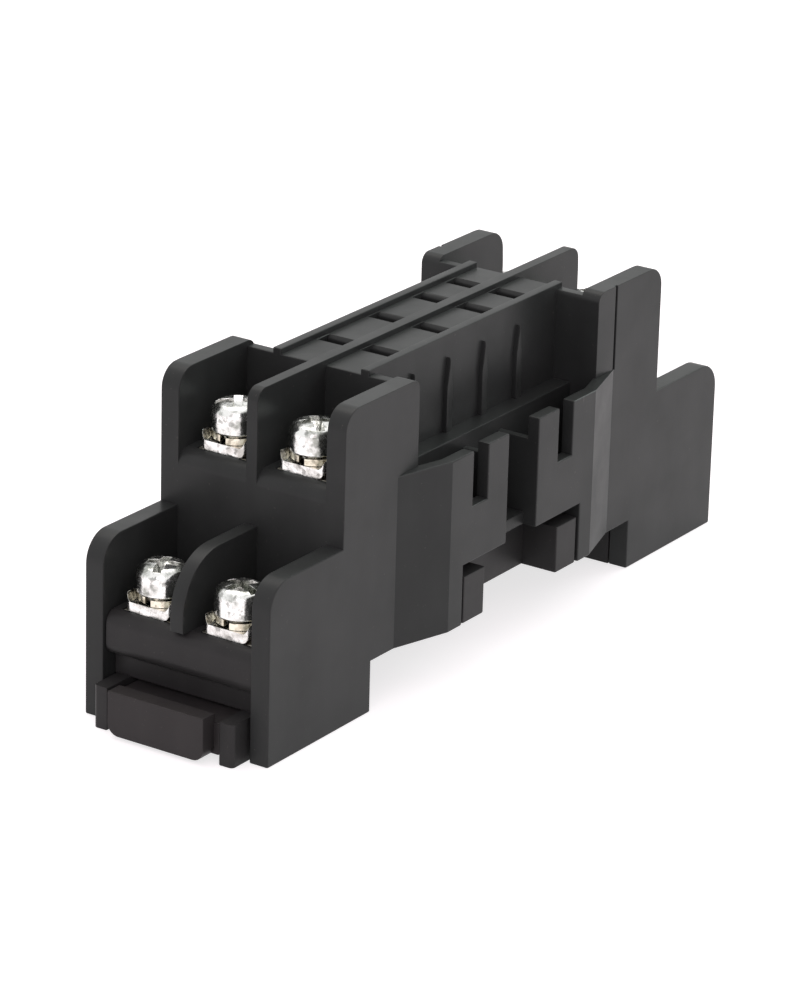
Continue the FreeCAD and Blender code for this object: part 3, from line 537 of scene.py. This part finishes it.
def clamp_section():
    """Half of the clamp's section, from the middle of its foot round to its top."""
    flat = CLAMP_FLAT
    wide = CLAMP_HALF_WIDTH
    thick = CLAMP_THICK
    rise = CLAMP_RISE
    return [
        (flat - 0.25 * MM, 0.0),
        (flat + 0.03 * MM, 0.14 * MM),
        (wide - 0.04 * MM, rise - 0.1 * MM),
        (wide, rise + 0.1 * MM),
        (wide, rise + thick - 0.12 * MM),
        (wide - 0.1 * MM, rise + thick - 0.02 * MM),
        (flat + 0.06 * MM, thick + 0.22 * MM),
        (flat - 0.18 * MM, thick),
    ]


def column(outline):
    """An upright form round an outline, taller than the pieces that it cuts."""
    return prism([[(x, y, height) for x, y in outline] for height in CUT_HEIGHTS])


def clamp_form():
    """The square clamp plate: wings bent up, grip ridges and a round bore."""
    half = CLAMP_LENGTH / 2
    right = clamp_section()
    section = right + [(-across, up) for across, up in right[::-1]]
    section = section[-1:] + section[:-1]
    steps = round((half - CLAMP_BARE) / GRIP_PITCH)
    ridges = [place * GRIP_PITCH for place in range(-steps, steps + 1)]
    rows = []
    for index, along in enumerate([-half] + ridges + [half]):
        dip = GRIP_DEPTH if index % 2 == 0 and abs(along) < half else 0.0
        row = []
        for across, up in section:
            y = across
            if abs(across) > CLAMP_FLAT - 0.05 * MM:
                y -= math.copysign(dip, across)
            row.append((along, y, up + (dip if up == 0.0 else 0.0)))
        rows.append(row)
    outline = []
    for turn in quarter(6):
        outline.append((
            half - CLAMP_CORNER + CLAMP_CORNER * math.cos(turn),
            CLAMP_HALF_WIDTH - CLAMP_CORNER + CLAMP_CORNER * math.sin(turn),
        ))
    outline += [(-x, y) for x, y in outline[::-1]]
    outline += [(-x, -y) for x, y in outline]
    plate = cut(prism(rows), column(outline), "INTERSECT")
    bore = bmesh.new()
    lathed(bore, [(CLAMP_BORE, height) for height in CUT_HEIGHTS], BORE_STEPS)
    return cut(plate, bore)


def washer_form():
    """The split spring washer, rising by a little over its turn."""
    rows = []
    for step in range(WASHER_STEPS + 1):
        share = step / WASHER_STEPS
        angle = math.pi + WASHER_SPLIT + share * (2 * math.pi - 2 * WASHER_SPLIT)
        low = share * WASHER_LIFT
        high = low + WASHER_THICK - WASHER_LIFT
        corners = [(WASHER_INNER, low), (WASHER_OUTER, low), (WASHER_OUTER, high)]
        corners += [(WASHER_INNER, high)]
        rows.append([
            (radius * math.cos(angle), radius * math.sin(angle), height)
            for radius, height in corners
        ])
    return prism(rows)


def set_down(mesh, place, turn):
    """A copy of a form, turned about Z and moved to its place."""
    form = bmesh.new()
    form.from_mesh(mesh)
    form.transform(Matrix.Translation(place) @ Matrix.Rotation(turn, 4, "Z"))
    form.normal_update()
    return form


def terminals(nickel, stamped, sprung, brass):
    """The screws, clamps, spring washers and contacts of the eight terminals."""
    screw = kept(screw_form(), "screw_form")
    clamp = kept(clamp_form(), "clamp_form")
    washer = kept(washer_form(), "washer_form")
    places = [
        (end, tier, side)
        for end in ("near", "far")
        for tier in ("lower", "upper")
        for side in ("left", "right")
    ]
    for (end, tier, side), turn in zip(places, SCREW_TURNS):
        name = "%s_%s_%s" % (end, tier, side)
        low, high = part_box(name + "_screw")
        x, y = (low[0] + high[0]) / 2, (low[1] + high[1]) / 2
        face = 0.0 if end == "near" else math.pi
        clamp_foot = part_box(name + "_clamp")[0][2]
        washer_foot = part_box(name + "_lock_washer")[0][2]
        for part, mesh, foot, spin, material, body in (
            ("_screw", screw, high[2] - HEAD_HEIGHT, turn, nickel, "_screw_body"),
            ("_clamp", clamp, clamp_foot, face, stamped, "_clamp_body"),
            ("_lock_washer", washer, washer_foot, face, sprung, "_clamp_body"),
        ):
            finished(
                name + part + "_piece", set_down(mesh, (x, y, foot), spin), material,
                STAMPED_EDGE, name + body, name + part,
            )
        softened(name + "_contact", "socket", brass, STAMPED_EDGE)


def camera():
    """The photograph's viewpoint and framing."""
    turn, rise, roll = (math.radians(a) for a in (VIEW_AZIMUTH, VIEW_ELEVATION, VIEW_ROLL))
    level = math.cos(rise)
    back = Vector((math.sin(turn) * level, -math.cos(turn) * level, math.sin(rise)))
    right = Vector((math.cos(turn), math.sin(turn), 0))
    up = back.cross(right)
    side = right * math.cos(roll) + up * math.sin(roll)
    top = up * math.cos(roll) - right * math.sin(roll)
    place = Vector(VIEW_AIM) + back * VIEW_DISTANCE
    place += side * VIEW_SLIDE[0] + top * VIEW_SLIDE[1]
    data = bpy.data.cameras.new("camera")
    data.lens = FOCAL_MM
    data.sensor_width = SENSOR_MM
    data.clip_start = 0.01
    seen = new_object("camera", data)
    facing = Matrix((side, top, back)).transposed().to_4x4()
    seen.matrix_world = Matrix.Translation(place) @ facing
    bpy.context.scene.camera = seen


def lamp(name, power, size, place, aim, colour):
    """A soft square lamp that points at a place."""
    data = bpy.data.lights.new(name, "AREA")
    data.energy = power
    data.size = size
    data.color = colour
    made = new_object(name, data)
    made.location = place
    made.rotation_euler = (Vector(aim) - Vector(place)).to_track_quat("-Z", "Y").to_euler()


def seen_directly(tree):
    """1 for the rays that show the background: camera, mirror and glass rays."""
    path = node(tree, "ShaderNodeLightPath")
    total = path.outputs["Is Camera Ray"]
    for other in ("Is Glossy Ray", "Is Transmission Ray"):
        made = node(tree, "ShaderNodeMath", operation="MAXIMUM")
        tree.links.new(total, made.inputs[0])
        tree.links.new(path.outputs[other], made.inputs[1])
        total = made.outputs[0]
    return total


def white_world():
    """Soft grey fill light that shows as white."""
    world = bpy.data.worlds.new("studio")
    bpy.context.scene.world = world
    world.use_nodes = True
    tree = world.node_tree
    fill = tree.nodes["Background"]
    fill.inputs["Color"].default_value = (1.0, 0.85, 0.92, 1)
    fill.inputs["Strength"].default_value = 0.8
    white = node(tree, "ShaderNodeBackground", Strength=1.0)
    white.inputs["Color"].default_value = (1, 1, 1, 1)
    mix = node(tree, "ShaderNodeMixShader")
    tree.links.new(seen_directly(tree), mix.inputs["Fac"])
    tree.links.new(fill.outputs[0], mix.inputs[1])
    tree.links.new(white.outputs[0], mix.inputs[2])
    tree.links.new(mix.outputs[0], tree.nodes["World Output"].inputs["Surface"])


def pale_floor():
    """The floor, which keeps the object's shadow."""
    plane = bpy.data.meshes.new("floor")
    reach = FLOOR_REACH
    plane.from_pydata(
        [(-reach, -reach, 0), (reach, -reach, 0), (reach, reach, 0), (-reach, reach, 0)],
        [],
        [(0, 1, 2, 3)],
    )
    floor = new_object("floor", plane)
    floor.location.z = -FLOOR_DROP
    material, tree, shader = new_material("pale_floor")
    shader.inputs["Base Color"].default_value = (0.55, 0.55, 0.55, 1)
    shader.inputs["Roughness"].default_value = 0.9
    shader.inputs["Specular IOR Level"].default_value = 0.0
    glow = node(tree, "ShaderNodeEmission")
    tree.links.new(weaken(tree, seen_directly(tree), 0.7), glow.inputs["Strength"])
    both = node(tree, "ShaderNodeAddShader")
    tree.links.new(shader.outputs[0], both.inputs[0])
    tree.links.new(glow.outputs[0], both.inputs[1])
    tree.links.new(both.outputs[0], tree.nodes["Material Output"].inputs["Surface"])
    plane.materials.append(material)


def studio():
    """A pale floor and plain soft light from the right, above and the front."""
    white_world()
    pale_floor()
    aim = (0.0, 0.0, 0.015)
    lamp("key", 4.6, 0.7, (1.0, -0.23, 0.6), aim, (0.87, 1.0, 0.95))
    lamp("top", 1.25, 0.4, (0.1, 0.15, 0.6), aim, (1.0, 0.96, 0.9))
    lamp("front", 1.1, 0.5, (-0.75, -0.35, 0.4), aim, (1.0, 0.86, 0.94))
    bpy.context.scene.view_settings.view_transform = "Standard"


def main():
    camera()
    studio()
    black = moulding("black_moulding", (0.0244, 0.0278, 0.0266), (0.0308, 0.035, 0.0335), 0.36)
    cover = moulding("cover_moulding", (0.0255, 0.0266, 0.0262), (0.0325, 0.034, 0.033), 0.43)
    sliding = moulding("slide_moulding", (0.030, 0.0295, 0.029), (0.038, 0.037, 0.036), 0.4)
    softened("housing", "socket", black, MOULDED_EDGE)
    softened("base_cover", "socket", cover, MOULDED_EDGE)
    softened("rail_slide", "slide", sliding, MOULDED_EDGE)
    steel = plated("spring_steel", (0.42, 0.41, 0.4), (0.6, 0.59, 0.57), 0.24, 0.15, 0.3)
    spring = softened("slide_spring", "socket", steel, SPRING_EDGE, 3)
    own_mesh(spring)
    nickel = plated("bright_nickel", (0.36, 0.37, 0.34), (0.9, 0.9, 0.88), 0.1, 0.5, 0.6)
    stamped = plated("stamped_nickel", (0.5, 0.49, 0.46), (0.92, 0.92, 0.9), 0.12, 0.8, 0.75)
    sprung = plated("washer_steel", (0.5, 0.45, 0.34), (0.88, 0.83, 0.7), 0.14, 0.4, 0.6)
    brass = plated("tinned_brass", (0.55, 0.5, 0.4), (0.82, 0.78, 0.68), 0.2, 0.3, 0.4)
    terminals(nickel, stamped, sprung, brass)


main()
